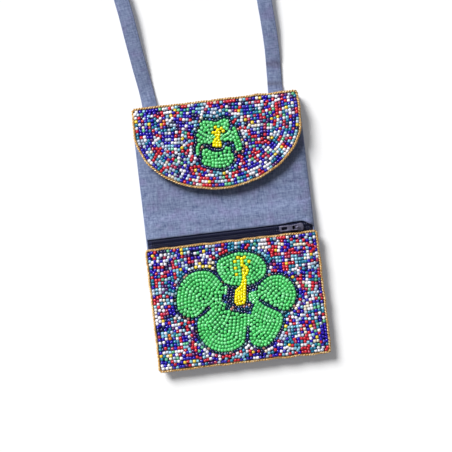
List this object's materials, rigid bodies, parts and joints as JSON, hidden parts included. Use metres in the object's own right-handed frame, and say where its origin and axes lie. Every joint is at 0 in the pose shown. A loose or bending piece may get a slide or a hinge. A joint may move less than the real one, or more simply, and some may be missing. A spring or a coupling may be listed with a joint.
{
  "type": "crossbody pouch",
  "caption": "Small flat crossbody pouch of blue cloth with a zip pocket, a snap flap, seed-bead flower panels edged in gold cord and a long flat shoulder strap.",
  "frame": {"origin": "middle of the flat outer face of the back panel, on the surface that the pouch lies on", "axes": "+Z from the back out of the beaded front, +Y from the bottom seam towards the mouth and the strap, +X to the right as the front is looked at"},
  "size_m": [0.1398, 0.4232, 0.0131],
  "materials": {
    "chambray": "woven cotton chambray, matt",
    "lining": "plain woven cotton, matt",
    "confetti_beads": "opaque seed beads in mixed colours, glossy",
    "green_beads": "opaque seed beads, glossy",
    "dark_beads": "dark teal and navy lustre seed beads",
    "yellow_beads": "opaque seed beads, glossy",
    "gold_trim": "twisted metallic gold cord",
    "zip_tape": "woven navy zip tape",
    "zip_coil": "nylon coil, satin",
    "gunmetal": "dark lacquered zinc",
    "snap_metal": "nickel-plated steel"
  },
  "bodies": {
    "pouch": {"back_panel": "chambray", "upper_front_panel": "chambray", "beaded_panel_base": "chambray", "shoulder_strap": "chambray", "pocket_divider": "lining", "panel_beadwork": "confetti_beads", "hibiscus_petal_top": "green_beads", "hibiscus_petal_left": "green_beads", "hibiscus_petal_right": "green_beads", "hibiscus_petal_lower_left": "green_beads", "hibiscus_petal_lower_right": "green_beads", "hibiscus_outline": "dark_beads", "hibiscus_stamen": "yellow_beads", "panel_edging": "gold_trim", "zip_tape_upper": "zip_tape", "zip_tape_lower": "zip_tape", "zip_coil_upper": "zip_coil", "zip_coil_lower": "zip_coil", "snap_socket": "snap_metal"},
    "flap": {"flap_base": "chambray", "flap_lining": "lining", "flap_beadwork": "confetti_beads", "flap_flower_petal_top": "green_beads", "flap_flower_petal_left": "green_beads", "flap_flower_petal_right": "green_beads", "flap_flower_petal_bottom": "green_beads", "flap_flower_outline": "dark_beads", "flap_flower_stamen": "yellow_beads", "flap_edging": "gold_trim", "snap_stud": "snap_metal"},
    "slider": {"zip_slider": "gunmetal"},
    "pull": {"zip_pull": "gunmetal"}
  },
  "joints": [
    {"name": "flap_hinge", "type": "hinge", "parent": "pouch", "child": "flap", "pos_m": [0, 0.0958, 0.00735], "axis": [-1, 0, 0], "range_deg": [0, 175]},
    {"name": "zip_slide", "type": "slide", "parent": "pouch", "child": "slider", "axis": [-1, 0, 0], "range_m": [0, 0.098]},
    {"name": "pull_swing", "type": "hinge", "parent": "slider", "child": "pull", "pos_m": [0.04995, -0.0029, 0.0111], "axis": [0, 1, 0], "range_deg": [0, 170]}
  ]
}
